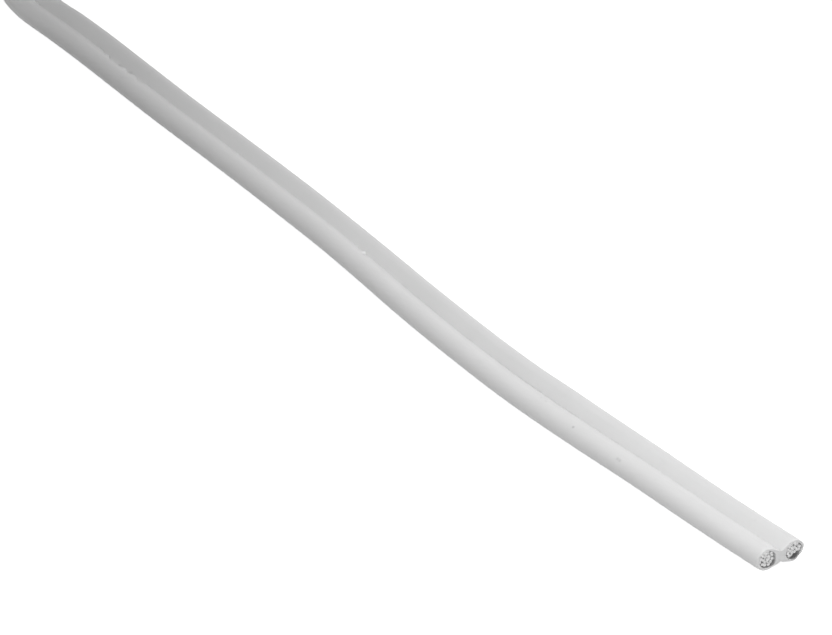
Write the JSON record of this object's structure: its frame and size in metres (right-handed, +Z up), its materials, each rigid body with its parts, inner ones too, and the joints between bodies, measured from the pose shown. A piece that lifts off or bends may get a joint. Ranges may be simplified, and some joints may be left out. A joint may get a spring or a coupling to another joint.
{
  "type": "twin flex cable",
  "caption": "Flat twin flex with stranded wire conductors in a figure-eight insulation, cut flush at its ends, one end laid out and the rest folded and tied.",
  "frame": {"origin": "middle of the footprint of the cable, its hank and its tie, on the surface that they lie on", "axes": "+X along the cable towards the end that is laid out, +Z up, +Y towards the side that the laid-out stretch is on"},
  "size_m": [0.2669, 0.0521, 0.0119],
  "materials": {
    "insulation": "soft satin PVC",
    "strands": "bright tinned wire, cut square",
    "tie": "smooth nylon"
  },
  "bodies": {
    "root": {"insulation": "insulation", "conductor_a_strand_1": "strands", "conductor_a_strand_2": "strands", "conductor_a_strand_3": "strands", "conductor_a_strand_4": "strands", "conductor_a_strand_5": "strands", "conductor_a_strand_6": "strands", "conductor_a_strand_7": "strands", "conductor_a_strand_8": "strands", "conductor_a_strand_9": "strands", "conductor_a_strand_10": "strands", "conductor_a_strand_11": "strands", "conductor_a_strand_12": "strands", "conductor_a_strand_13": "strands", "conductor_a_strand_14": "strands", "conductor_a_strand_15": "strands", "conductor_a_strand_16": "strands", "conductor_a_strand_17": "strands", "conductor_a_strand_18": "strands", "conductor_a_strand_19": "strands", "conductor_b_strand_1": "strands", "conductor_b_strand_2": "strands", "conductor_b_strand_3": "strands", "conductor_b_strand_4": "strands", "conductor_b_strand_5": "strands", "conductor_b_strand_6": "strands", "conductor_b_strand_7": "strands", "conductor_b_strand_8": "strands", "conductor_b_strand_9": "strands", "conductor_b_strand_10": "strands", "conductor_b_strand_11": "strands", "conductor_b_strand_12": "strands", "conductor_b_strand_13": "strands", "conductor_b_strand_14": "strands", "conductor_b_strand_15": "strands", "conductor_b_strand_16": "strands", "conductor_b_strand_17": "strands", "conductor_b_strand_18": "strands", "conductor_b_strand_19": "strands", "hank": "insulation", "tie": "tie"}
  },
  "joints": []
}
